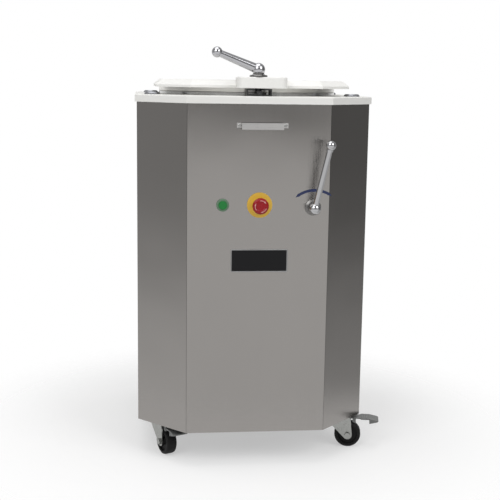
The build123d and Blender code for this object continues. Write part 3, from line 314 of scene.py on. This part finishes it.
# One finish for each of the record's material slots
SLOT_FINISHES = {
    "brushed_stainless": dict(
        colour=(0.318, 0.304, 0.291), roughness=0.15, metallic=1.0, grain=BRUSHED, grain_bump=0.65,
        grain_depth=METAL_DEPTH, mottle=2.2, tint=0.035, rough_spread=0.03, wave=(4.2, 0.0022),
    ),
    "polished_stainless": dict(
        colour=(0.50, 0.50, 0.49), roughness=0.17, metallic=1.0, grain=900, grain_bump=0.03,
        mottle=6.0,
    ),
    "white_enamel": dict(
        colour=(0.82, 0.815, 0.79), roughness=0.56, grain=260, grain_bump=0.06, mottle=5.0,
        tint=0.02, rough_spread=0.05, specular=0.12, wear=((0.56, 0.55, 0.52), 0.002, 0.45),
    ),
    "white_casting": dict(
        colour=(0.87, 0.865, 0.84), roughness=0.56, grain=170, grain_bump=0.10, grain_depth=0.0005,
        mottle=6.0, tint=0.02, rough_spread=0.05, specular=0.12,
        wear=((0.60, 0.59, 0.56), 0.002, 0.4),
    ),
    "turned_aluminium": dict(
        colour=(0.84, 0.83, 0.79), roughness=0.34, metallic=1.0, grain=620, grain_bump=0.10,
        grain_depth=METAL_DEPTH, mottle=9.0, rings=True,
    ),
    "black_steel": dict(
        colour=(0.018, 0.018, 0.018), roughness=0.42, grain=600, grain_bump=0.08,
        wear=((0.12, 0.12, 0.12), 0.0012, 0.6),
    ),
    "chrome_lever": dict(
        colour=(0.54, 0.54, 0.56), roughness=0.09, metallic=1.0, grain=300, mottle=30.0,
        rough_spread=0.04,
    ),
    "bright_steel": dict(
        colour=(0.42, 0.42, 0.43), roughness=0.26, metallic=1.0, grain=TURNED, grain_bump=0.06,
        grain_depth=METAL_DEPTH, mottle=12.0,
    ),
    "knife_steel": dict(
        colour=(0.48, 0.49, 0.50), roughness=0.24, metallic=1.0, grain=BRUSHED, grain_bump=0.06,
        grain_depth=METAL_DEPTH, mottle=12.0,
    ),
    "pad_plastic": dict(
        colour=(0.78, 0.78, 0.74), roughness=0.45, grain=500, grain_bump=0.10, smear=(FLOUR, 0.5),
    ),
    "white_hinge": dict(
        colour=(0.74, 0.74, 0.72), roughness=0.34, grain=220, grain_bump=0.08,
        wear=((0.4, 0.4, 0.39), 0.0015, 0.5),
    ),
    "frame_paint": dict(
        colour=(0.09, 0.095, 0.10), roughness=0.42, grain=350, grain_bump=0.12,
    ),
    "hydraulic_block": dict(
        colour=(0.075, 0.08, 0.085), roughness=0.5, metallic=0.6, grain=800, grain_bump=0.15,
    ),
    "box_plastic": dict(
        colour=(0.26, 0.27, 0.28), roughness=0.5, grain=900, grain_bump=0.15,
    ),
    "black_plastic": dict(
        colour=(0.014, 0.014, 0.014), roughness=0.45, grain=900, grain_bump=0.12,
    ),
    # The bezel's light greenish grey is partly its own colour and partly a painted highlight for
    # the light ring round the button
    "start_bezel": dict(
        colour=(0.130, 0.225, 0.145), roughness=0.34, grain=700, grain_bump=0.06, mottle=40.0,
        specular=0.3,
    ),
    "start_green": dict(
        colour=(0.014, 0.20, 0.040), roughness=0.26, grain=500, grain_bump=0.03, mottle=60.0,
        specular=0.3,
    ),
    "stop_yellow": dict(
        colour=(0.72, 0.45, 0.052), roughness=0.30, grain=500, grain_bump=0.04, mottle=40.0,
    ),
    "stop_stem": dict(
        colour=(0.02, 0.02, 0.02), roughness=0.45, grain=900, grain_bump=0.1,
    ),
    "stop_red": dict(
        colour=(0.31, 0.008, 0.013), roughness=0.26, grain=500, grain_bump=0.04, mottle=50.0,
        specular=0.3,
    ),
    "caster_zinc": dict(
        colour=(0.36, 0.365, 0.35), roughness=0.30, metallic=1.0, grain=160, grain_bump=0.06,
        mottle=45.0, smear=(DUST, 0.5),
    ),
    "caster_black": dict(
        colour=(0.010, 0.010, 0.010), roughness=0.6, grain=TREAD, grain_bump=0.25, mottle=35.0,
        specular=0.2, smear=((0.05, 0.05, 0.048), 0.28),
    ),
    # The pedal is lighter at its edges and in patches: partly rubbed paint, and on the bend of the
    # pad a painted highlight
    "pedal_grey": dict(
        colour=(0.150, 0.154, 0.150), roughness=0.42, metallic=0.3, grain=500, grain_bump=0.12,
        mottle=40.0, wear=(PEDAL_RUB_AND_HIGHLIGHT, 0.002, 0.7), smear=((0.26, 0.26, 0.255), 0.5),
    ),
}
materials = {slot: finish(slot, **look) for slot, look in SLOT_FINISHES.items()}

# Nodes whose finish differs a little from the rest of their slot
own_finish = {
    "column_caps": finish(
        "cap_steel", (0.34, 0.345, 0.37), roughness=0.36, metallic=1.0, grain=TURNED,
        grain_bump=0.05, mottle=25.0,
    ),
    "lock_flange": finish(
        "flange_steel", (0.26, 0.255, 0.25), roughness=0.24, metallic=1.0, grain=TURNED,
        grain_bump=0.05, grain_depth=METAL_DEPTH, mottle=25.0,
    ),
    "lock_shaft": finish(
        "shaft_steel", (0.055, 0.055, 0.056), roughness=0.38, metallic=0.7, grain=TURNED,
        grain_bump=0.06, grain_depth=METAL_DEPTH, mottle=25.0,
    ),
    # The escutcheon's steel is darker than the lever's; this darkness is a painted shadow round the
    # hub
    "valve_escutcheon": finish(
        "escutcheon_steel_painted_shade", (0.20, 0.195, 0.19), roughness=0.34, metallic=1.0, grain=TURNED,
        grain_bump=0.06, grain_depth=METAL_DEPTH, mottle=25.0,
    ),
    "valve_lever": finish(
        "lever_steel", (0.50, 0.50, 0.51), roughness=0.13, metallic=1.0, grain=300,
        grain_bump=0.03, mottle=30.0,
    ),
    # The pull's steel is lighter than the panel's; this lightness is a painted highlight for the
    # light the plate catches
    "front_pull": finish(
        "pull_steel_painted_highlight", (0.62, 0.61, 0.60), roughness=0.30, metallic=1.0, grain=DRAWN,
        grain_bump=0.06, grain_depth=METAL_DEPTH,
    ),
}

# Finishes of pieces that are not in the record
decal_blue = finish(
    "decal_blue", (0.018, 0.028, 0.095), roughness=0.4, grain=700, grain_bump=0.05
)
badge_black = finish(
    "badge_black", (0.010, 0.010, 0.011), roughness=0.35, grain=900, grain_bump=0.05,
    mottle=20.0, specular=0.15,
)
rim_steel = finish(
    "rim_steel", (0.36, 0.36, 0.36), roughness=0.38, metallic=1.0, grain=900, grain_bump=0.04,
    mottle=30.0,
)
arrow_pale = finish(
    "arrow_pale", (0.62, 0.30, 0.29), roughness=0.35, grain=700, grain_bump=0.05, mottle=60.0
)

for subpart in frame["record"]["subparts"]:
    mesh = nodes[subpart["node"]].data
    mesh.materials.clear()
    mesh.materials.append(own_finish.get(subpart["node"]) or materials[subpart["material_slot"]])


# Pieces that ride on the frame


class Seat:
    """A flat place on the object: u and v run along its surface and w stands off it."""

    def __init__(self, origin, u, w):
        self.origin = Vector(origin)
        self.w = Vector(w).normalized()
        self.u = Vector(u).normalized()
        self.v = self.w.cross(self.u)

    def point(self, u, v, w):
        return self.origin + self.u * u + self.v * v + self.w * w


def skin(name, rings, body, slot, material=None, hollow=False):
    """A closed skin through rings of as many points each.

    Both ends are capped, or, where it is hollow, the last ring is joined to the first.
    """
    shape = bmesh.new()
    loops = [[shape.verts.new(point) for point in ring] for ring in rings]
    count = len(rings[0])
    pairs = list(zip(loops, loops[1:]))
    if hollow:
        pairs.append((loops[-1], loops[0]))
    for lower, upper in pairs:
        for i in range(count):
            j = (i + 1) % count
            shape.faces.new((lower[i], lower[j], upper[j], upper[i]))
    if not hollow:
        shape.faces.new(reversed(loops[0]))
        shape.faces.new(loops[-1])
    bmesh.ops.recalc_face_normals(shape, faces=shape.faces)
    mesh = bpy.data.meshes.new(name)
    shape.to_mesh(mesh)
    shape.free()
    mesh.materials.append(material or materials[slot])
    piece = bpy.data.objects.new(name, mesh)
    bpy.context.scene.collection.objects.link(piece)
    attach(piece, body)


RIGHT = (1, 0, 0)
TO_FRONT = (0, -1, 0)
TO_REAR = (0, 1, 0)
UP = (0, 0, 1)
DOWN = (0, 0, -1)
FRONT_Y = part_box("front_panel")[0].y
front = Seat((0, FRONT_Y, 0), RIGHT, TO_FRONT)

# Bare plate with a bright rim on the front panel. Both sections are insets and heights in mm.

BADGE_MIDDLE = (0.0035, 0.5335)
BADGE_SIZE = (0.141, 0.057)
BADGE_CORNER = 0.003
LEAST_CORNER = 0.0004
CORNER_STEPS = 6
RIM_SECTION = ((0, 0), (0, 1.2), (0.5, 1.7), (2.0, 1.7), (2.4, 1.3), (2.4, 0))
PLATE_SECTION = ((2.4, 0), (2.4, 1.0), (3.0, 1.2))
badge_seat = Seat((BADGE_MIDDLE[0], FRONT_Y, BADGE_MIDDLE[1]), RIGHT, TO_FRONT)


def badge_ring(inset, height):
    """The badge's outline with its rounded corners, drawn in by inset."""
    half_u, half_v = (side / 2 - inset for side in BADGE_SIZE)
    radius = max(BADGE_CORNER - inset, LEAST_CORNER)
    points = []
    for turn, (side_u, side_v) in enumerate(((1, 1), (-1, 1), (-1, -1), (1, -1))):
        for step in range(CORNER_STEPS + 1):
            angle = pi / 2 * (turn + step / CORNER_STEPS)
            u = side_u * (half_u - radius) + radius * cos(angle)
            v = side_v * (half_v - radius) + radius * sin(angle)
            points.append(badge_seat.point(u, v, height))
    return points


def badge_rings(section):
    return [badge_ring(inset * MM, height * MM) for inset, height in section]


skin(
    "badge_rim", badge_rings(RIM_SECTION), "cabinet", "polished_stainless", rim_steel, hollow=True
)
skin("badge_plate", badge_rings(PLATE_SECTION), "cabinet", "black_plastic", badge_black)

# Bands that follow a curve: the blue arc over the valve lever and the arrows on the stop button

BAND_RISE = 0.0003
LEAST_HALF_WIDTH = 0.0001


def band(name, place, half_width, steps, body, slot, material):
    """A thin band. place(t, across, up) is a point of it and half_width(t) half its width there."""
    rings = []
    for step in range(steps + 1):
        t = step / steps
        reach = half_width(t)
        corners = ((reach, 0), (reach, BAND_RISE), (-reach, BAND_RISE), (-reach, 0))
        rings.append([place(t, across, up) for across, up in corners])
    skin(name, rings, body, slot, material)


def head_width(t, share, band_half, head_half):
    """A pointed head over the first share of a band, then the band's own half width."""
    if t < share:
        return max(head_half * t / share, LEAST_HALF_WIDTH)
    return band_half


ARC_MIDDLE = (0.1385, 0.636)
ARC_RADIUS = 0.072
ARC_START = radians(131)
ARC_SWEEP = radians(-77)
ARC_HALF_WIDTH = 0.0033
ARC_HEAD_SHARE = 0.11
ARC_HEAD_HALF_WIDTH = 0.0044
ARC_STEPS = 60


def arc_place(t, across, up):
    angle = ARC_START + ARC_SWEEP * t
    reach = ARC_RADIUS + across
    return front.point(ARC_MIDDLE[0] + reach * cos(angle), ARC_MIDDLE[1] + reach * sin(angle), up)


def arc_half_width(t):
    return head_width(min(t, 1 - t), ARC_HEAD_SHARE, ARC_HALF_WIDTH, ARC_HEAD_HALF_WIDTH)


band("lever_arc", arc_place, arc_half_width, ARC_STEPS, "cabinet", "black_plastic", decal_blue)

# Three curved arrows on the crown of the stop button, which show the way it twists free

stop_low, stop_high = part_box("estop_head")
STOP_MIDDLE = ((stop_low.x + stop_high.x) / 2, (stop_low.z + stop_high.z) / 2)
STOP_RADIUS = (stop_high.x - stop_low.x) / 2
# Shares of the radius, and how far the crown lies behind its front there
STOP_CROWN = ((0.58, 0.0), (0.78, 0.9 * MM), (0.95, 3.6 * MM))
ARROW_COUNT = 3
ARROW_FIRST_START = 100
ARROW_RADIUS = 0.70 * STOP_RADIUS
ARROW_SWEEP = radians(74)
ARROW_HALF_WIDTH = 0.0008
ARROW_HEAD_SHARE = 0.34
ARROW_HEAD_HALF_WIDTH = 0.0021
ARROW_STEPS = 16
stop_seat = Seat((STOP_MIDDLE[0], stop_low.y, STOP_MIDDLE[1]), RIGHT, TO_FRONT)


def crown_depth(radius):
    """How far the crown of the stop button lies behind its front at a radius."""
    share = radius / STOP_RADIUS
    for (near, near_depth), (far, far_depth) in zip(STOP_CROWN, STOP_CROWN[1:]):
        if share <= far:
            return near_depth + (far_depth - near_depth) * (share - near) / (far - near)
    return STOP_CROWN[-1][1]


def arrow_place(start):
    def place(t, across, up):
        angle = start - ARROW_SWEEP * t
        radius = ARROW_RADIUS + across
        return stop_seat.point(radius * cos(angle), radius * sin(angle), up - crown_depth(radius))

    return place


def arrow_half_width(t):
    return head_width(1 - t, ARROW_HEAD_SHARE, ARROW_HALF_WIDTH, ARROW_HEAD_HALF_WIDTH)


for number in range(ARROW_COUNT):
    start = radians(ARROW_FIRST_START + 360 / ARROW_COUNT * number)
    band(
        f"stop_arrow_{number}", arrow_place(start), arrow_half_width, ARROW_STEPS,
        "estop_mushroom", "stop_red", arrow_pale,
    )

# Screws and bolts. Each head is turned its own way, as hands leave them.

HEAD_POINTS = 48
# Shares of the head's radius and height, up its side and over its edge
SCREW_PROFILE = ((1, 0), (1, 0.45), (0.93, 0.75), (0.76, 1))
# Shares of the recess's outline and of the head's height, down into it
RECESS_PROFILE = ((1, 1), (0.85, 0.35))
CROSS_ARM_RATIO = 3.2
TINY = 1e-6
HEX_SIDE_SHARE = 0.8
HEX_TOP_SHARE = 0.97
HEX_TURNED_SHARE = 1.09
SIDES = ((-1, "l"), (1, "r"))
ENDS = ((-1, "a"), (1, "b"))


def head_ring(seat, reach, height, share=1):
    """A ring drawn to a share of the outline that reach(angle) gives."""
    angles = [2 * pi * i / HEAD_POINTS for i in range(HEAD_POINTS)]
    return [
        seat.point(share * reach(angle) * cos(angle), share * reach(angle) * sin(angle), height)
        for angle in angles
    ]


def round_reach(radius):
    return lambda angle: radius


def cross_reach(size):
    """The outline of a cross recess whose arms are size long and narrow."""
    half = size / CROSS_ARM_RATIO

    def reach(angle):
        c, s = max(abs(cos(angle)), TINY), max(abs(sin(angle)), TINY)
        return max(min(size / c, half / s), min(size / s, half / c))

    return reach


def hex_reach(size):
    """The outline of a hexagon that is 2 x size across its flats."""
    return lambda angle: size / cos((angle % (pi / 3)) - pi / 6)


def screw(name, seat, size, recess_reach, body, slot):
    """A screw head with a rounded edge. size is its radius, its height and its recess."""
    radius, height, recess = size
    side, inside = round_reach(radius), recess_reach(recess)
    rings = [head_ring(seat, side, up * height, share) for share, up in SCREW_PROFILE]
    rings += [head_ring(seat, inside, up * height, share) for share, up in RECESS_PROFILE]
    skin(name, rings, body, slot)


def hex_head(name, seat, size, body, slot):
    """A hexagon bolt head with its corners turned off. size is across its flats, and its height."""
    across, height = size
    flats = hex_reach(across / 2)
    corner = HEX_TURNED_SHARE * across / 2
    rings = [
        head_ring(seat, flats, 0),
        head_ring(seat, flats, HEX_SIDE_SHARE * height),
        head_ring(seat, lambda angle: min(flats(angle), corner), height, HEX_TOP_SHARE),
    ]
    skin(name, rings, body, slot)


PULL_SCREW_SIZE = (0.0045, 0.0022, 0.0022)
PULL_SCREWS = ((-0.04875, 0.865), (0.06275, 0.865))
PULL_SCREW_TURN = (1, 0, 0.3)
PULL_FACE_Y = FRONT_Y - 0.002
for number, (x, z) in enumerate(PULL_SCREWS):
    seat = Seat((x, PULL_FACE_Y, z), PULL_SCREW_TURN, TO_FRONT)
    screw(
        f"pull_screw_{number}", seat, PULL_SCREW_SIZE, cross_reach, "cabinet", "polished_stainless"
    )

SOCKET_SCREW_SIZE = (0.0024, 0.0014, 0.0011)
LOCK_AXIS = (0.0, -0.274)
FLANGE_TOP = 0.985
FLANGE_SCREW_COUNT = 4
FLANGE_SCREW_CIRCLE = 0.0168
FLANGE_FIRST_SCREW = 45
FLANGE_TURN_STEP = 0.4
for number in range(FLANGE_SCREW_COUNT):
    angle = radians(FLANGE_FIRST_SCREW + 360 / FLANGE_SCREW_COUNT * number)
    turn = angle + FLANGE_TURN_STEP * number
    place = (
        LOCK_AXIS[0] + FLANGE_SCREW_CIRCLE * cos(angle),
        LOCK_AXIS[1] + FLANGE_SCREW_CIRCLE * sin(angle),
        FLANGE_TOP,
    )
    seat = Seat(place, (cos(turn), sin(turn), 0), UP)
    screw(f"flange_screw_{number}", seat, SOCKET_SCREW_SIZE, hex_reach, "lid", "bright_steel")

HINGE_BOLT_SIZE = (0.010, 0.0045)
HINGE_FOOT_X = 0.126
HINGE_FOOT_Y = 0.283
HINGE_FOOT_TOP = 0.941
HINGE_BOLT_HALF_SPAN = (0.0205, 0.018)
HINGE_TURN_STEPS = (0.5, 0.9)
for side, side_name in SIDES:
    for inner, inner_name in ENDS:
        for end, end_name in ENDS:
            place = (
                side * (HINGE_FOOT_X + inner * HINGE_BOLT_HALF_SPAN[0]),
                HINGE_FOOT_Y + end * HINGE_BOLT_HALF_SPAN[1],
                HINGE_FOOT_TOP,
            )
            turn = HINGE_TURN_STEPS[0] * inner + HINGE_TURN_STEPS[1] * end + side
            seat = Seat(place, (cos(turn), sin(turn), 0), UP)
            name = f"hinge_bolt_{side_name}{inner_name}{end_name}"
            hex_head(name, seat, HINGE_BOLT_SIZE, "cabinet", "bright_steel")

ARM_X = 0.092
ARM_SCREW_HALF_SPAN = 0.0205
ARM_SCREW_Z = 0.956
ARM_SCREW_LEAN = 0.4
PAD_FACE_Y = 0.252
for side, side_name in SIDES:
    for inner, inner_name in ENDS:
        place = (side * (ARM_X + inner * ARM_SCREW_HALF_SPAN), PAD_FACE_Y, ARM_SCREW_Z)
        seat = Seat(place, (1, 0, ARM_SCREW_LEAN * inner), TO_REAR)
        name = f"arm_screw_{side_name}{inner_name}"
        screw(name, seat, SOCKET_SCREW_SIZE, hex_reach, "lid", "bright_steel")

PLATE_BOLT_SIZE = (0.010, 0.004)
PLATE_BOLTS = ((38, 24), (-38, 24), (-38, -24), (38, -24))
PLATE_UNDERSIDE = 0.0885
CASTER_SPOTS = {
    "front_left": ((-0.235, -0.177), -45),
    "front_right": ((0.235, -0.177), 45),
    "rear_left": ((-0.235, 0.240), 0),
    "rear_right": ((0.235, 0.240), 0),
}
for corner, ((x, y), turn) in CASTER_SPOTS.items():
    c, s = cos(radians(turn)), sin(radians(turn))
    for number, (u, v) in enumerate(PLATE_BOLTS):
        place = (x + (u * c - v * s) * MM, y + (u * s + v * c) * MM, PLATE_UNDERSIDE)
        seat = Seat(place, (cos(number), sin(number), 0), DOWN)
        name = f"plate_bolt_{corner}_{number}"
        hex_head(name, seat, PLATE_BOLT_SIZE, "cabinet", "bright_steel")

# Ridges across the pads of the brake pedals

PEDAL_HEADINGS = {"front_left": -65, "front_right": -12}
PEDAL_TOP = 0.083
RIDGE_PLACES = (0.071, 0.077, 0.083)
RIDGE_HALF_LENGTH = 0.0155
RIDGE_SECTION = (
    (0.0011, 0),
    (0.0011, 0.0005),
    (0.0005, 0.0009),
    (-0.0005, 0.0009),
    (-0.0011, 0.0005),
    (-0.0011, 0),
)
# Shares of the half length, and the section's size there
RIDGE_ENDS = ((-1, 0.55), (-0.97, 1), (0.97, 1), (1, 0.55))
for corner, heading in PEDAL_HEADINGS.items():
    (x, y), _ = CASTER_SPOTS[corner]
    along = (cos(radians(heading)), sin(radians(heading)), 0)
    pad = Seat((x, y, PEDAL_TOP), along, UP)
    for number, reach in enumerate(RIDGE_PLACES):
        rings = [
            [
                pad.point(reach + u * size, share * RIDGE_HALF_LENGTH, w * size)
                for u, w in RIDGE_SECTION
            ]
            for share, size in RIDGE_ENDS
        ]
        skin(f"pedal_ridge_{corner}_{number}", rings, f"pedal_{corner}", "pedal_grey")

# Screws down both sides of the rear panel

REAR_SCREW_SIZE = (0.0042, 0.0021, 0.0021)
REAR_SCREW_X = 0.281
REAR_SCREW_HEIGHTS = (0.112, 0.308, 0.504, 0.700, 0.896)
REAR_TURN_STEP = 2.1
REAR_FACE_Y = 0.315
for side, side_name in SIDES:
    for number, z in enumerate(REAR_SCREW_HEIGHTS):
        lean = sin(REAR_TURN_STEP * number + side)
        seat = Seat((side * REAR_SCREW_X, REAR_FACE_Y, z), (1, 0, lean), TO_REAR)
        name = f"rear_screw_{side_name}{number}"
        screw(name, seat, REAR_SCREW_SIZE, cross_reach, "cabinet", "bright_steel")


# Floor, lamps and room

FLOOR_SIZE = 4
FLOOR_COLOUR = (0.56, 0.56, 0.56)
FLOOR_ROUGHNESS = 0.9
FLOOR_SPECULAR = 0.1
FLOOR_GLOW = 0.46
FLOOR_FADE = (0.45, 0.95)


def make_floor():
    """A pale floor that holds the object's shadow and melts into the room around it."""
    bpy.ops.mesh.primitive_plane_add(size=FLOOR_SIZE, location=(0, 0, 0))
    floor = bpy.context.object
    floor.name = "floor"
    material = bpy.data.materials.new("studio_floor")
    material.use_nodes = True
    tree = material.node_tree
    shader = tree.nodes["Principled BSDF"]
    shader.inputs["Base Color"].default_value = (*FLOOR_COLOUR, 1)
    shader.inputs["Roughness"].default_value = FLOOR_ROUGHNESS
    shader.inputs["Specular IOR Level"].default_value = FLOOR_SPECULAR
    glow = tree.nodes.new("ShaderNodeEmission")
    strength = arithmetic(tree, "MULTIPLY", only_seen(tree), FLOOR_GLOW)
    link(tree, strength, glow.inputs["Strength"])
    lit = tree.nodes.new("ShaderNodeAddShader")
    link(tree, shader.outputs["BSDF"], lit.inputs[0])
    link(tree, glow.outputs["Emission"], lit.inputs[1])
    place = tree.nodes.new("ShaderNodeTexCoord")
    faded = ramp(tree, length(tree, place.outputs["Object"]), *FLOOR_FADE)
    clear = tree.nodes.new("ShaderNodeBsdfTransparent")
    surface = mix_shaders(tree, faded, lit.outputs["Shader"], clear.outputs["BSDF"])
    link(tree, surface, tree.nodes["Material Output"].inputs["Surface"])
    floor.data.materials.append(material)


make_floor()

LAMP_SIZE = 2.6
# Each lamp's place, the point it shines at and its power
LAMPS = {
    "key_light": ((-2.4, -3.2, 3.4), (0, 0, 0.6), 72),
    "fill_light": ((2.6, -3.2, 3.2), (0, 0, 0.6), 72),
    "top_light": ((-0.4, -0.3, 3.8), (0, -0.2, 0), 36),
}

for name, (place, target, power) in LAMPS.items():
    data = bpy.data.lights.new(name, "AREA")
    data.shape = "SQUARE"
    data.size = LAMP_SIZE
    data.energy = power
    lamp = bpy.data.objects.new(name, data)
    lamp.location = place
    lamp.rotation_mode = "QUATERNION"
    lamp.rotation_quaternion = (Vector(target) - Vector(place)).to_track_quat("-Z", "Y")
    bpy.context.scene.collection.objects.link(lamp)

# Strengths of the room by direction. A lean is how much its strength changes towards +X, and a
# span is where along X, Y or Z a part of the room begins and where it has come up fully.
# AHEAD_RISE is such a span along Z, and AHEAD_FALL is how the ground ahead dims further down.
HORIZON_TONE = 0.30
HORIZON_LEAN = -0.12
BELOW_TONE = 0.41
BELOW_LEAN = -0.09
BELOW_SPAN = (-0.09, -0.31)
AHEAD_SPAN = (-0.15, -0.65)
AHEAD_RISE = (0.0, -0.076)
AHEAD_FALL = 0.28
OVERHEAD_TONE = 0.42
OVERHEAD_SPAN = (0.10, 0.75)
BEHIND_SPAN = (0.45, 0.88)


def make_world():
    """A soft studio. White shows behind the object and on the ground ahead, but adds no light."""
    world = bpy.data.worlds.new("studio")
    world.use_nodes = True
    tree = world.node_tree
    tree.nodes.clear()
    output = tree.nodes.new("ShaderNodeOutputWorld")
    room = tree.nodes.new("ShaderNodeBackground")
    room.inputs["Color"].default_value = (1, 1, 1, 1)
    place = tree.nodes.new("ShaderNodeTexCoord")
    parts = tree.nodes.new("ShaderNodeSeparateXYZ")
    link(tree, place.outputs["Generated"], parts.inputs["Vector"])
    across, along, up = (parts.outputs[axis] for axis in "XYZ")

    def times(first, second):
        return arithmetic(tree, "MULTIPLY", first, second)

    def brighter(first, second):
        return arithmetic(tree, "MAXIMUM", first, second)

    below = times(ramp(tree, up, *BELOW_SPAN), line(tree, across, BELOW_LEAN, BELOW_TONE))
    around = arithmetic(tree, "ADD", line(tree, across, HORIZON_LEAN, HORIZON_TONE), below)
    overhead = times(ramp(tree, up, *OVERHEAD_SPAN), OVERHEAD_TONE)
    ahead = times(ramp(tree, along, *AHEAD_SPAN), ramp(tree, up, *AHEAD_RISE))
    ahead = times(ahead, line(tree, up, AHEAD_FALL, 1))
    behind = ramp(tree, along, *BEHIND_SPAN)
    white = times(brighter(ahead, behind), only_seen(tree))
    tone = brighter(brighter(around, overhead), white)
    link(tree, tone, room.inputs["Strength"])
    link(tree, room.outputs["Background"], output.inputs["Surface"])
    bpy.context.scene.world = world


make_world()
bpy.context.scene.view_settings.view_transform = "Standard"
